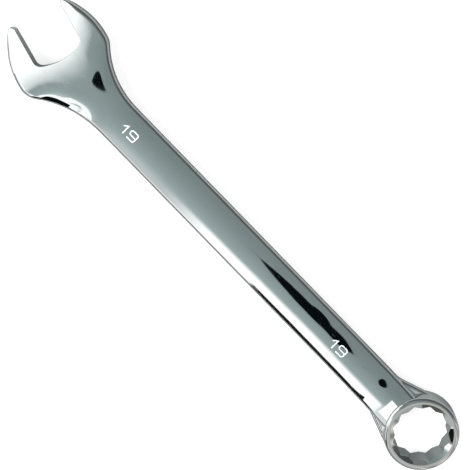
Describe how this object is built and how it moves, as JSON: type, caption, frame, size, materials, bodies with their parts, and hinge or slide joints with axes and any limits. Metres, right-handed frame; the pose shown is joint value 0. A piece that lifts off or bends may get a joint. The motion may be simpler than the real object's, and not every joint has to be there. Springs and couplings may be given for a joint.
{
  "type": "combination wrench",
  "caption": "Combination wrench with an angled open jaw at one end and a tilted twelve-point ring at the other, polished and chromed.",
  "frame": {"origin": "centre of the ring's socket, half way through the ring", "axes": "+X runs along the shank and out past the ring, away from the open jaw; +Z leaves the numbered face; +Y is across the shank, towards the short jaw"},
  "size_m": [0.2276, 0.0381, 0.0182],
  "materials": {
    "chrome": "polished chrome plate over forged chrome-alloy steel"
  },
  "bodies": {
    "root": {"wrench_body": "chrome"}
  },
  "joints": []
}
